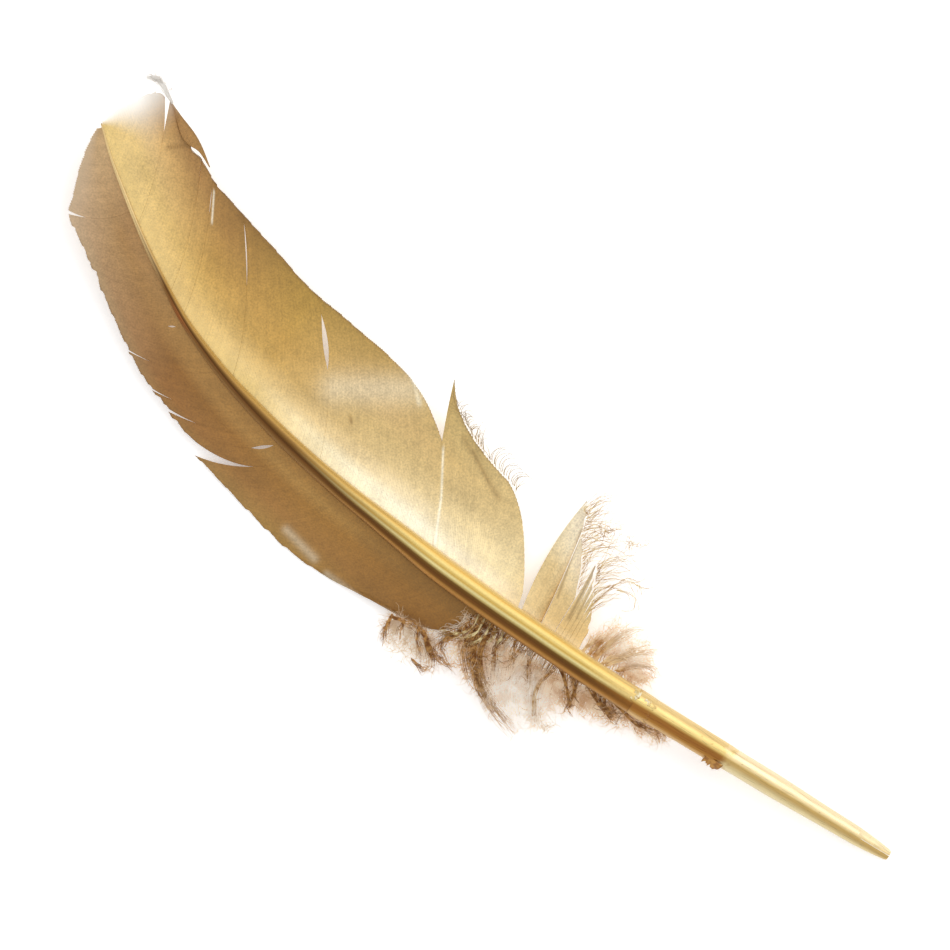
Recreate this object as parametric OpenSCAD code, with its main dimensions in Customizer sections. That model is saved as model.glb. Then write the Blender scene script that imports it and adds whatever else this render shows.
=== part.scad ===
// Quill pen cut from a large wing feather, lying on a table with its hollow side up.
// Millimetres. The origin is the writing point on the table, +X runs along the barrel
// towards the point, +Y is the side of the wide vane and +Z is up.
// A station s is the distance back from the writing point, so x = -s.

/* [Barrel] */
// Length of the hollow barrel, from the writing point to the first barbs
barrel_len = 78; // [70:1:84]
// Angle at which the barrel rises from the table
barrel_rise = 5.5; // [5:0.5:6]
// Angle of the barrel to the X axis, seen from above
barrel_turn = 1; // [0:0.5:2]
// Thickness of the barrel's wall
wall_t = 0.45; // [0.35:0.05:0.6]
// Radius of the straight stretch that sits in a pen stand
grip_r = 3.2; // [3.1:0.05:3.3]
// Distance of the straight stretch from the writing point
grip_start = 36; // [34:1:38]
// Length of the straight stretch
grip_len = 10; // [8:1:12]

/* [Nib] */
// Distance that the scoop cut runs back from the writing point
scoop_len = 20; // [18:1:22]
// Length of the ink slit
slit_len = 9; // [6:1:12]
// Width of the ink slit
slit_w = 0.15; // [0.1:0.05:0.3]

/* [Vanes] */
// Thickness of a web of hooked barbs
web_t = 0.35; // [0.3:0.05:0.5]
// Downward slope of the wide vane where it leaves the shaft
wide_slope = 0.3; // [0.2:0.05:0.35]
// Distance from the shaft at which the wide vane is lowest
wide_low = 22; // [18:1:26]
// Downward slope of the narrow vane
narrow_slope = 0.38; // [0.3:0.02:0.38]
// Clearance of a lobe that can bend, from the shaft
lobe_gap = 0.35; // [0.3:0.05:0.5]

/* [Down] */
// Thickness of a tuft of down
down_t = 2.2; // [1.4:0.2:2.4]
// Slope of the down from the shaft to the table
down_slope = 14.5; // [12:0.5:14.5]

/* [Hidden] */
$fn = 48;

point_y = 0.4;       // the barrel's axis starts this far to the side of the origin
point_z = 0.78;      // and this far above the table, so that the scoop's heel rests on it
embed = 0.25;        // how far a barb's root sits in the shaft
ring_sides = 18;     // corners of the shaft's section
pith_share = 0.84;   // the pith's thickness as a share of the shaft's
pith_end = 250;      // station at which the shaft becomes solid

// The barrel's outside, as [distance from the point, radius]
barrel_outline = [[0, 1.3], [0.6, 1.5], [4, 1.95], [10, 2.45], [20, 2.7], [30, 3.0],
    [grip_start, grip_r], [grip_start + grip_len, grip_r], [52, 3.35], [60, 3.4], [70, 3.45],
    [barrel_len, 3.55], [barrel_len + 4, 3.6]];

// The shaft's middle line and thickness, as [station, y, z, width, height]
shaft = [[78, -0.96, 8.26, 7.1, 7.1], [84, -0.95, 8.7, 7.1, 6.9], [90, -0.9, 9.05, 7.2, 6.6],
    [100, -0.7, 9.4, 7.3, 6.3], [110, -0.4, 9.6, 7.4, 6.1], [120, -0.1, 9.6, 7.4, 6],
    [130, 0.4, 9.5, 7.4, 5.9], [140, 1.1, 9.3, 7.2, 5.8], [150, 2.2, 9.1, 6.5, 5.6],
    [160, 3.3, 8.9, 5.7, 5.2], [170, 4.4, 8.8, 5.2, 4.8], [180, 5.8, 8.7, 4.8, 4.4],
    [190, 7.6, 8.7, 4.5, 4], [200, 9.8, 8.8, 4.1, 3.6], [210, 12.4, 9.1, 3.5, 3.1],
    [220, 15.8, 9.6, 3, 2.6], [230, 20.1, 10.2, 2.4, 2.1], [240, 25.8, 11, 1.9, 1.7],
    [250, 32.2, 12, 1.5, 1.4], [260, 39.4, 13.2, 1.2, 1.1], [268, 45.5, 14.2, 0.9, 0.8],
    [274.5, 51.4, 15, 0.6, 0.5]];

// Barbs that set the edges of each web, as [station of the root, station and y of the tip]
wide_tip_barbs = [[253, 264.6, 66.6], [257.5, 266.6, 66.4], [262, 268, 64.8], [266, 270.2, 62],
    [269.5, 272.2, 58.7], [272, 273.6, 55], [273.8, 274.6, 52.4]];
wide_upper_barbs = [[236.6, 245.5, 57.2], [238.5, 247.4, 58.7], [241, 250, 60.2],
    [245, 255, 62.7], [249, 260, 64.8], [252.6, 262.8, 66.1]];
wide_middle_barbs = [[211.2, 231.9, 51.6], [218, 236.4, 52.9], [225, 240.6, 54.1],
    [231, 243.2, 54.8], [236.2, 244.8, 56.5]];
wide_lower_barbs = [[180.6, 204.3, 44.2], [188, 211, 45.7], [196, 218.5, 48], [204, 225.5, 49.9],
    [210.8, 231.2, 51.3]];
wide_base_barbs = [[143.6, 167, 37], [150, 173, 39.6], [158, 181, 41.1], [166, 189, 42.1],
    [173, 196, 43.3], [180.2, 203.2, 44]];
pointed_barbs = [[116.3, 117.4, 7.4], [117.6, 119.5, 11.5], [119, 122.3, 16], [121, 126, 21.3],
    [123.5, 130.5, 26], [126, 135, 29.3], [128, 138.5, 30.2], [130, 143, 31.5],
    [132.5, 147.5, 33.2], [135.5, 152, 35.5], [138.5, 156.6, 38.6], [140.8, 159.8, 41.6],
    [142.9, 161.6, 44.4]];
ragged_a_barbs = [[109.6, 111.8, 23], [110.8, 113.2, 28.6], [112, 113.9, 31.5],
    [113.5, 114.8, 34], [115.1, 116, 36.6]];
ragged_b_barbs = [[104.9, 105.2, 13.6], [105.5, 106.2, 16.5], [106.2, 107.6, 20],
    [107, 108.8, 22.8], [107.9, 110.4, 25], [109, 111.9, 27]];
ragged_strip_barbs = [[97.2, 97.6, 7.6], [98.2, 98.9, 9.9], [99.8, 100.2, 12.5],
    [101.5, 102.4, 15.5], [103, 103.4, 20], [104.2, 104.5, 24.8]];
narrow_tip_barbs = [[256.4, 269.2, 28.4], [259.5, 271, 32.2], [263, 272.8, 35.8],
    [266.5, 274, 39.8], [269.5, 274.7, 43.6], [272, 275, 46.8], [273.8, 275, 49.6]];
narrow_middle_barbs = [[186.4, 210.3, -5.8], [192, 215, -4.8], [198, 220.5, -3], [205, 227, 0],
    [212, 233.5, 3], [219, 240, 6.5], [226, 246, 10.3], [232, 251, 14], [238, 256.5, 17.7],
    [244, 261.5, 21], [250, 266, 24.3], [256, 269.8, 27]];
narrow_base_barbs = [[126, 131, -9.8], [130, 136.5, -13.6], [135, 144, -15.3], [142, 153, -15.7],
    [150, 162.5, -16.8], [158, 171.5, -16.8], [166, 181, -15.2], [173, 189, -13.3],
    [179.5, 198, -10.9], [186, 208, -8.2]];

// Outlines of the down, as [station, y]
down_wide_line = [[96, 2.5], [96.1, 5.5], [93.2, 9.9], [90.3, 15.5], [88.2, 18.1], [80.5, 16],
    [79.7, 9.7], [78.8, 6.3], [78.8, 2.3]];
down_clump_line = [[142.9, -16.9], [140, -24.5], [132.4, -22.4], [128.2, -23.7], [125.8, -19.8],
    [129.2, -16.6], [127, -11], [131, -12.5], [135, -14.8]];
down_fan_line = [[115, -3.8], [119.6, -11], [125.5, -13.8], [125.5, -19.5], [120, -20.6],
    [113.2, -24.2], [113.2, -3.8]];
down_middle_line = [[112.8, -3.9], [112.8, -24.3], [105, -24.8], [98.9, -25.8], [98.9, -4.1]];
down_end_line = [[98.5, -4.1], [98.5, -25.8], [94.5, -22.9], [90.3, -17.9], [92.4, -14.5],
    [83.4, -11.9], [81.6, -10.3], [81.6, -4.2]];
down_small_line = [[81, -4.2], [77.4, -9], [73.9, -11.6], [71.6, -11.4], [71.2, -8],
    [79, -4.2]];
down_last_line = [[73, -4.6], [68.8, -7.4], [66.6, -7.9], [66.2, -6], [70, -4.6]];

function shaft_column(c) = [for (p = shaft) [p[0], p[c]]];
shaft_y_at = shaft_column(1);
shaft_z_at = shaft_column(2);
shaft_w_at = shaft_column(3);
function mid_y(s) = lookup(s, shaft_y_at);
function half_w(s) = lookup(s, shaft_w_at) / 2;
// Barbs leave the shaft a little below its middle
function root_z(s) = lookup(s, shaft_z_at) - half_w(s) / 2;

// Height of each vane above the table; the wide one is hollow, the narrow one falls away
function wide_z(s, y) =
    let (d = max(0, y - mid_y(s) - half_w(s)))
    root_z(s) - wide_slope * d + wide_slope / (2 * wide_low) * d * d;
function narrow_z(s, y) =
    let (d = max(0, mid_y(s) - half_w(s) - y))
    root_z(s) - narrow_slope * d;

// Share of a barb's run, along and across, at which its curve turns
wide_turn = [0.2, 0.45];
narrow_turn = [0.22, 0.62];

// One point of a barb's curve, v = 0 at the root and 1 at the tip
function barb_point(root, tip, turn, v) =
    let (mid = [root[0] + turn[0] * (tip[0] - root[0]), root[1] + turn[1] * (tip[1] - root[1])])
    (1 - v) * (1 - v) * root + 2 * v * (1 - v) * mid + v * v * tip;

// Section of the shaft, in shares of its width and height, with the groove along its upper face
groove_depth = 0.09;
groove_angle = 113;
groove_half_angle = 15;
squareness = 2.6;
function section(k, groove) =
    let (a = 360 * k / ring_sides,
        bulge = pow(pow(abs(cos(a)), squareness) + pow(abs(sin(a)), squareness), -1 / squareness),
        in_groove = abs(a - groove_angle) < groove_half_angle)
    0.5 * bulge * (1 - (in_groove ? 2 * groove * groove_depth : 0)) * [cos(a), sin(a)];
function ring(p, share, groove) = [for (k = [0 : ring_sides - 1])
    let (q = section(k, groove))
    [-p[0], p[1] + share * p[3] * q[0], p[2] + share * p[4] * q[1]]];

// Side walls between rings of points, the first ring at index first
function walls(rings, sides, first) = [for (i = [0 : rings - 2], k = [0 : sides - 1])
    let (a = first + i * sides + k, b = first + i * sides + (k + 1) % sides)
    each [[a, a + sides, b], [b, a + sides, b + sides]]];
function turned(faces) = [for (f = faces) [f[0], f[2], f[1]]];
function groove_at(s) = s < 84 ? 0 : s < 100 ? (s - 84) / 16 : 1;

module along_barrel() {
    translate([0, point_y, point_z]) rotate([0, barrel_rise - 90, barrel_turn]) children();
}

// A thin web of barbs; side is 1 for the wide vane and -1 for the narrow one
module web(barbs, side, sink, turn) {
    steps = 5;
    cols = steps + 1;
    rows = len(barbs);
    plan = [for (b = barbs, j = [0 : steps])
        let (skin = 0.12 * half_w(b[0]),
            root = [b[0], mid_y(b[0]) + side * (half_w(b[0]) - min(sink, skin))])
        barb_point(root, [b[1], b[2]], turn, j / steps)];
    mid = [for (p = plan) [-p[0], p[1], side > 0 ? wide_z(p[0], p[1]) : narrow_z(p[0], p[1])]];
    count = rows * cols;
    points = concat([for (p = mid) p + [0, 0, web_t / 2]], [for (p = mid) p - [0, 0, web_t / 2]]);
    upper = [for (i = [0 : rows - 2], j = [0 : steps - 1])
        let (a = i * cols + j)
        each [[a, a + cols, a + cols + 1], [a, a + cols + 1, a + 1]]];
    lower = [for (f = turned(upper)) [f[0] + count, f[1] + count, f[2] + count]];
    rim = concat([for (i = [0 : rows - 2]) [i * cols, (i + 1) * cols]],
        [for (j = [0 : steps - 1]) [(rows - 1) * cols + j, (rows - 1) * cols + j + 1]],
        [for (i = [rows - 1 : -1 : 1]) [i * cols + steps, (i - 1) * cols + steps]],
        [for (j = [steps : -1 : 1]) [j, j - 1]]);
    edges = [for (e = rim) each [[e[1], e[0], e[0] + count], [e[1], e[0] + count, e[1] + count]]];
    faces = concat(upper, lower, edges);
    polyhedron(points, side > 0 ? faces : turned(faces));
}

// A tuft of down that slopes from the shaft's side to the table
module tuft(line, root_y, top_z, slope) {
    translate([0, root_y, top_z]) rotate([slope, 0, 0]) translate([0, -root_y, -down_t])
        linear_extrude(down_t) polygon([for (p = line) [-p[0], p[1]]]);
}

module barrel() {
    inner = [for (p = barrel_outline) [p[1] - wall_t, p[0]]];
    outer = [for (p = barrel_outline) [p[1], p[0]]];
    last = len(inner) - 1;
    scoop_r = 28;
    heel_r = 2.8;
    scoop_mid = scoop_len - sqrt(scoop_r * scoop_r - (scoop_r - heel_r) * (scoop_r - heel_r));
    nib_floor = 0.1;
    color("#e3c679") difference() {
        along_barrel() difference() {
            rotate_extrude() polygon(concat(outer, [for (i = [last : -1 : 0]) inner[i]]));
            // scoop cut on the underside
            translate([nib_floor - scoop_r, 0, scoop_mid]) rotate([90, 0, 0])
                cylinder(r = scoop_r, h = 10, center = true);
            translate([nib_floor - 6, -5, -1]) cube([6, 10, scoop_mid + 1]);
            // ink slit through the roof of the nib
            translate([0, -slit_w / 2, -1]) cube([5, slit_w, slit_len + 1]);
        }
        // square end where the shaft begins
        translate([-barrel_len - 20, -10, -5]) cube([20, 20, 30]);
    }
}

// The dried membrane that closes the barrel's upper end
module umbilicus_plug() {
    color("#c9a25e") along_barrel() rotate_extrude()
        polygon([[0, 73], [1.6, 73.4], [2.6, 74.6], [2.98, 76], [2.98, 77.4], [0, 77.4]]);
}

// Dried cups of pulp on their strand, inside the barrel
module pulp_caps() {
    strand_r = 0.3;
    cap_step = 6.5;
    cap_depth = 2.2;
    cap_t = 0.2;
    color("#d9cba0") along_barrel() union() {
        translate([0, 0, 26]) cylinder(r = strand_r, h = 46.5);
        for (i = [0 : 6]) {
            rim = 2.3 + 0.06 * i;
            translate([0, 0, 28 + i * cap_step]) rotate_extrude()
                polygon([[0, 0], [rim * 0.6, cap_depth * 0.25], [rim, cap_depth],
                    [rim, cap_depth + cap_t * 2], [rim * 0.6, cap_depth * 0.25 + cap_t], [0, cap_t]]);
        }
    }
}

// The torn edge of the sheath, round the joint of barrel and shaft
module sheath_collar() {
    color("#c08a3a") along_barrel()
        rotate_extrude() polygon([[3.47, 74.6], [3.62, 75.2], [3.72, 77.2], [3.56, 77.6], [3.53, 76]]);
}

// A flake of sheath that has lifted from the barrel's side
module sheath_flake() {
    flake_line = [[49.2, 0], [50.4, -1.5], [52.4, -1.2], [54.7, -0.5], [55.2, 0.1], [52.6, 0.16]];
    color("#b9823a") along_barrel() translate([-0.3, -3.38, 0]) rotate([0, 90, 0])
        linear_extrude(0.6) polygon([for (p = flake_line) [-p[0], p[1]]]);
}

// The horny skin of the shaft, closed at the feather's tip and open at the barrel
module rachis_cortex() {
    hollow = [for (p = shaft) if (p[0] <= pith_end) p];
    n = len(shaft);
    m = len(hollow);
    inner_first = n * ring_sides;
    points = concat([for (p = shaft) each ring(p, 1, groove_at(p[0]))],
        [for (p = hollow) each ring(p, pith_share, groove_at(p[0]))]);
    mouth = [for (k = [0 : ring_sides - 1])
        let (a = k, b = (k + 1) % ring_sides)
        each [[a, b, inner_first + a], [b, inner_first + b, inner_first + a]]];
    tip = [[for (k = [ring_sides - 1 : -1 : 0]) (n - 1) * ring_sides + k]];
    floor_cap = [[for (k = [0 : ring_sides - 1]) inner_first + (m - 1) * ring_sides + k]];
    color("#b98a3c")
        polyhedron(points, concat(walls(n, ring_sides, 0), turned(walls(m, ring_sides, inner_first)),
            mouth, tip, floor_cap));
}

// The foam that fills the shaft
module pith_core() {
    hollow = [for (p = shaft) if (p[0] > barrel_len && p[0] <= pith_end) p];
    n = len(hollow);
    start = [[for (k = [0 : ring_sides - 1]) k]];
    end = [[for (k = [ring_sides - 1 : -1 : 0]) (n - 1) * ring_sides + k]];
    color("#f2ead2")
        polyhedron([for (p = hollow) each ring(p, pith_share, groove_at(p[0]))],
            concat(walls(n, ring_sides, 0), start, end));
}

module wide_web_tip() { color("#d8c08c") web(wide_tip_barbs, 1, embed, wide_turn); }
module wide_web_upper() { color("#b8934d") web(wide_upper_barbs, 1, embed, wide_turn); }
module wide_web_middle() { color("#c2a05a") web(wide_middle_barbs, 1, embed, wide_turn); }
module wide_web_lower() { color("#c9a866") web(wide_lower_barbs, 1, embed, wide_turn); }
module wide_web_base() { color("#d3b778") web(wide_base_barbs, 1, embed, wide_turn); }
module pointed_lobe() { color("#c9a55c") web(pointed_barbs, 1, -lobe_gap, wide_turn); }
module ragged_lobe_a() { color("#bd9750") web(ragged_a_barbs, 1, -lobe_gap, wide_turn); }
module ragged_lobe_b() { color("#c7a35f") web(ragged_b_barbs, 1, -lobe_gap, wide_turn); }
module ragged_strip() { color("#cfae70") web(ragged_strip_barbs, 1, -lobe_gap, wide_turn); }
module narrow_web_tip() { color("#b59a78") web(narrow_tip_barbs, -1, embed, narrow_turn); }
module narrow_web_middle() { color("#a27847") web(narrow_middle_barbs, -1, embed, narrow_turn); }
module narrow_web_base() { color("#9c7040") web(narrow_base_barbs, -1, embed, narrow_turn); }

// Single barbs that have come unhooked between the narrow vane and the down
module loose_barbs() {
    barb_w = 0.6;
    color("#a67c45") for (i = [0 : 4])
        let (root = 117.2 + 1.7 * i, run = 3.9 + 0.25 * i, tip_y = -9.2 - 0.15 * i)
        web([[root, root + run, tip_y], [root + barb_w, root + run + barb_w, tip_y]],
            -1, embed, narrow_turn);
}

module down_wide() { color("#c9a584") tuft(down_wide_line, 2, 8.4, -6); }
module down_clump() { color("#c9ae98") tuft(down_clump_line, -3, 8, down_slope); }
module down_fan() { color("#d8c6b6") tuft(down_fan_line, -3, 8, down_slope); }
module down_middle() { color("#e6dbd2") tuft(down_middle_line, -3, 8, down_slope); }
module down_end() { color("#dccbbc") tuft(down_end_line, -3, 8, down_slope); }
module down_small() { color("#b98a63") tuft(down_small_line, -3, 7.4, down_slope); }
module down_last() { color("#a67448") tuft(down_last_line, -3, 7.4, down_slope); }

barrel();
umbilicus_plug();
pulp_caps();
sheath_collar();
sheath_flake();
rachis_cortex();
pith_core();
wide_web_tip();
wide_web_upper();
wide_web_middle();
wide_web_lower();
wide_web_base();
pointed_lobe();
ragged_lobe_a();
ragged_lobe_b();
ragged_strip();
narrow_web_tip();
narrow_web_middle();
narrow_web_base();
loose_barbs();
down_wide();
down_clump();
down_fan();
down_middle();
down_end();
down_small();
down_last();
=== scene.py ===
"""Quill pen: a gold-painted wing feather whose barrel is cut to a nib. The looks, built on the CAD frame.

Shapes are worked out in millimetres in the frame's own axes and go into the meshes in metres.
A station is the distance back from the writing point, so x = -station; the wide vane is on the +Y side.
"""

import math
import random

import bmesh
import bpy
from mathutils import Matrix, Vector, noise


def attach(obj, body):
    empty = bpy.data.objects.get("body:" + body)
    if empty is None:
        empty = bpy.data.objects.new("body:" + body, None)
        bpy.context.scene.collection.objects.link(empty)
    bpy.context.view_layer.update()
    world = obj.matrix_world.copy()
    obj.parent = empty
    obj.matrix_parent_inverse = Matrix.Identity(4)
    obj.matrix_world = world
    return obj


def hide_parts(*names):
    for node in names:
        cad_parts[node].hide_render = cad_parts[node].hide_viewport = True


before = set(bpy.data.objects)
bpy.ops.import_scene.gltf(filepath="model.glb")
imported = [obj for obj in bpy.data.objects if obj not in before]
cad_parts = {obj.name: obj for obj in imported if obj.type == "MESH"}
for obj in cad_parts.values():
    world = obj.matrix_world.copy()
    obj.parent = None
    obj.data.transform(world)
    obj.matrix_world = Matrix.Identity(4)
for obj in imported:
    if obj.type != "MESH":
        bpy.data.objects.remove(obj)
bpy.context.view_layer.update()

MM = 0.001
ROOT = "root"

# ---------------------------------------------------------------- the feather's measures, in mm

# Middle line of the shaft: station, y, z, width, height
SHAFT = [
    (78, -0.96, 8.26, 7.1, 7.1), (84, -0.95, 8.7, 7.1, 6.9), (90, -0.9, 9.05, 7.2, 6.6),
    (100, -0.7, 9.4, 7.3, 6.3), (110, -0.4, 9.6, 7.4, 6.1), (120, -0.1, 9.6, 7.4, 6),
    (130, 0.4, 9.5, 7.4, 5.9), (140, 1.1, 9.3, 7.2, 5.8), (150, 2.2, 9.1, 6.5, 5.6),
    (160, 3.3, 8.9, 5.7, 5.2), (170, 4.4, 8.8, 5.2, 4.8), (180, 5.8, 8.7, 4.8, 4.4),
    (190, 7.6, 8.7, 4.5, 4), (200, 9.8, 8.8, 4.1, 3.6), (210, 12.4, 9.1, 3.5, 3.1),
    (220, 15.8, 9.6, 3, 2.6), (230, 20.1, 10.2, 2.4, 2.1), (240, 25.8, 11, 1.9, 1.7),
    (250, 32.2, 12, 1.5, 1.4), (260, 39.4, 13.2, 1.2, 1.1), (268, 45.5, 14.2, 0.9, 0.8),
    (274.5, 51.4, 15, 0.6, 0.5),
]
BARB_PITCH = 0.48        # distance between barbs along the shaft
WEB_T = 0.14             # thickness of a web of barbs
RIB = 0.05               # height of a barb's rib above the web
WIDE_SLOPE, WIDE_LOW = 0.3, 22     # fall of the wide vane at the shaft, and how far out it is lowest
NARROW_SLOPE = 0.38      # fall of the narrow vane
ROOT_SINK = 0.35         # how deep a barb's root sits in the shaft
SLIT_REACH = 4           # distance along the shaft over which barbs give way to a slit
TIP_NOTCH = 0.35         # how far the rim steps back between two barb tips


def at(table, column, key):
    """Smooth value of one column of a table whose first column rises."""
    last = len(table) - 1
    i = 0
    while i < last - 1 and table[i + 1][0] < key:
        i += 1
    a, b = table[i], table[i + 1]
    span = b[0] - a[0]
    t = min(1.0, max(0.0, (key - a[0]) / span))
    before, after = table[max(0, i - 1)], table[min(last, i + 2)]
    slope_a = (b[column] - before[column]) / (b[0] - before[0]) * span
    slope_b = (after[column] - a[column]) / (after[0] - a[0]) * span
    t2, t3 = t * t, t * t * t
    return ((2 * t3 - 3 * t2 + 1) * a[column] + (t3 - 2 * t2 + t) * slope_a
            + (3 * t2 - 2 * t3) * b[column] + (t3 - t2) * slope_b)


def mid_y(s):
    return at(SHAFT, 1, s)


def half_w(s):
    return at(SHAFT, 3, s) / 2


def root_z(s):
    """Barbs leave the shaft a little below its middle."""
    return at(SHAFT, 2, s) - half_w(s) / 2


def vane_z(side, s, y):
    """Height of a vane: the wide one is hollow, the narrow one falls away from the shaft."""
    d = max(0.0, side * (y - mid_y(s)) - half_w(s))
    waves = 0.45 * noise.noise(Vector((s / 13, y / 9, side))) * min(1.0, d / 8)
    if side > 0:
        return root_z(s) - WIDE_SLOPE * d + WIDE_SLOPE / (2 * WIDE_LOW) * d * d + waves
    return root_z(s) - NARROW_SLOPE * d + waves


def smooth_step(low, high, value):
    t = min(1.0, max(0.0, (value - low) / (high - low)))
    return t * t * (3 - 2 * t)


# ---------------------------------------------------------------- materials

def colour(hex_code):
    """Linear colour of an sRGB hex code."""
    parts = [int(hex_code[i:i + 2], 16) / 255 for i in (1, 3, 5)]
    return tuple(c / 12.92 if c <= 0.04045 else ((c + 0.055) / 1.055) ** 2.4 for c in parts) + (1.0,)


def node(tree, kind, inputs=None, output=0, stops=None, **settings):
    """Adds a node and gives one of its outputs; inputs are values or other nodes' outputs."""
    new = tree.nodes.new("ShaderNode" + kind)
    for name, value in settings.items():
        setattr(new, name, value)
    for key, value in (inputs or {}).items():
        if isinstance(value, bpy.types.NodeSocket):
            tree.links.new(value, new.inputs[key])
        else:
            new.inputs[key].default_value = value
    if stops:
        marks = new.color_ramp.elements
        while len(marks) < len(stops):
            marks.new(1.0)
        for mark, (position, code) in zip(marks, stops):
            mark.position = position
            mark.color = colour(code)
    return new.outputs[output]


def new_material(name, **values):
    """A material, its node tree and its Principled shader, with the shader's plain values set."""
    mat = bpy.data.materials.new(name)
    mat.use_nodes = True
    shader = mat.node_tree.nodes["Principled BSDF"]
    for key, value in values.items():
        shader.inputs[key.replace("_", " ")].default_value = value
    return mat, mat.node_tree, shader


MICA_GRAIN = 0.5         # mm across; real mica is finer, and is drawn coarse enough to show


def mica(tree, low, high):
    """Fine sparkle of mica flakes: a factor between low and high."""
    place = node(tree, "TexCoord", output="Object")
    grain = node(tree, "TexNoise", {"Vector": place, "Scale": 1 / (MICA_GRAIN * MM), "Detail": 2.0})
    return node(tree, "MapRange", {0: grain, 1: 0.3, 2: 0.7, 3: low, 4: high})


def times(tree, tint, factor):
    """A colour made darker or lighter by a factor."""
    grey = node(tree, "CombineColor", {0: factor, 1: factor, 2: factor})
    return node(tree, "Mix", {0: 1.0, 6: tint, 7: grey}, 2, data_type="RGBA", blend_type="MULTIPLY")


def station(tree):
    """Station in mm."""
    x = node(tree, "SeparateXYZ", {0: node(tree, "TexCoord", output="Object")})
    return node(tree, "Math", {0: x, 1: -1 / MM}, operation="MULTIPLY")


def rows_of_colour(tree, across, marks, rows):
    """Colour at marks in mm from the shaft's middle, for each of a few stations along the feather."""
    s = station(tree)
    paint, before = None, None
    for row_s, codes in rows:
        share = node(tree, "Math", {0: across, 1: 1 / marks[-1]}, operation="MULTIPLY")
        tint = node(tree, "ValToRGB", {0: share},
                    stops=[(mm / marks[-1], code) for mm, code in zip(marks, codes.split())])
        if before is None:
            paint = tint
        else:
            mix = node(tree, "MapRange", {0: s, 1: before, 2: row_s})
            paint = node(tree, "Mix", {0: mix, 6: paint, 7: tint}, 2, data_type="RGBA")
        before = row_s
    return paint


def painted_barbs(name, marks, rows, rim, rim_start, pale, pale_span, **values):
    """Gold mica paint sprayed on hooked barbs: a satin metal sheen, grainy, each barb its own tone; with
    painted shade at the rim and in creases, and painted highlight on gap edges and at the feather's end.
    """
    mat, tree, shader = new_material(name, **values)
    across, reach, barb, shade_and_highlight = [node(tree, "Attribute", output="Fac", attribute_name=n)
                                  for n in ("across", "reach", "barb", "shade_and_highlight")]
    paint = rows_of_colour(tree, across, marks, rows)
    # the end of the feather pales towards the tips of its last barbs: a painted highlight where the raised
    # end catches the bright light
    end = node(tree, "MapRange", {0: station(tree), 1: pale_span[0], 2: pale_span[1]},
               interpolation_type="SMOOTHSTEP")
    tips = node(tree, "MapRange", {0: reach, 1: 0.45, 2: 1.0}, interpolation_type="SMOOTHSTEP")
    painted_end_highlight = node(tree, "Math", {0: end, 1: tips}, operation="MULTIPLY")
    # the thin rim is darker: painted shade of the edge
    painted_rim_shade = node(tree, "MapRange", {0: reach, 1: rim_start, 2: 1.0, 3: 0.0, 4: 0.8})
    painted_rim_shade = node(tree, "Math", {0: painted_rim_shade, 1: node(tree, "Math", {0: 1.0, 1: end}, operation="SUBTRACT")},
                operation="MULTIPLY")
    paint = node(tree, "Mix", {0: painted_rim_shade, 6: paint, 7: colour(rim)}, 2, data_type="RGBA")
    # painted shade along creases and gaps and a painted shadow under the turned corner, then painted
    # highlight on the lit edges of gaps
    paint = node(tree, "Mix", {0: shade_and_highlight, 6: paint, 7: colour(rim)}, 2, data_type="RGBA")
    pale_and_painted_light = node(tree, "Math", {0: shade_and_highlight, 1: -1.0}, operation="MULTIPLY")
    paint = node(tree, "Mix", {0: pale_and_painted_light, 6: paint, 7: colour("#fffbe6")}, 2, data_type="RGBA")
    # cloudy paint: patches some 9 mm across, and clots of it 2 mm across
    place = node(tree, "TexCoord", output="Object")
    cloud = node(tree, "TexNoise", {"Vector": place, "Scale": 1 / (9 * MM), "Detail": 5.0, "Roughness": 0.6})
    cloud = node(tree, "MapRange", {0: cloud, 1: 0.3, 2: 0.7, 3: 0.94, 4: 1.06})
    clots = node(tree, "TexNoise", {"Vector": place, "Scale": 1 / (2 * MM), "Detail": 3.0})
    clots = node(tree, "MapRange", {0: clots, 1: 0.3, 2: 0.7, 3: 0.94, 4: 1.06})
    own = node(tree, "TexWhiteNoise", {"W": node(tree, "Math", {0: barb}, operation="FLOOR")},
               noise_dimensions="1D")
    own = node(tree, "MapRange", {0: own, 3: 0.955, 4: 1.035})
    tone = node(tree, "Math", {0: own, 1: mica(tree, 0.86, 1.17)}, operation="MULTIPLY")
    tone = node(tree, "Math", {0: tone, 1: cloud}, operation="MULTIPLY")
    tone = node(tree, "Math", {0: tone, 1: clots}, operation="MULTIPLY")
    # the toned paint, then the painted highlight towards the feather's end
    paint = node(tree, "Mix", {0: painted_end_highlight, 6: times(tree, paint, tone), 7: colour(pale)}, 2, data_type="RGBA")
    tree.links.new(paint, shader.inputs["Base Color"])
    tree.links.new(mica(tree, 0.35, 0.65), shader.inputs["Roughness"])
    return mat


# Paint colours along the vanes: station, then the colour at each mark across, in mm. The colours are partly
# the paint's own gold and partly painted light.
WIDE_MARKS = (3, 6, 9, 13, 18, 24, 36)
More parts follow.
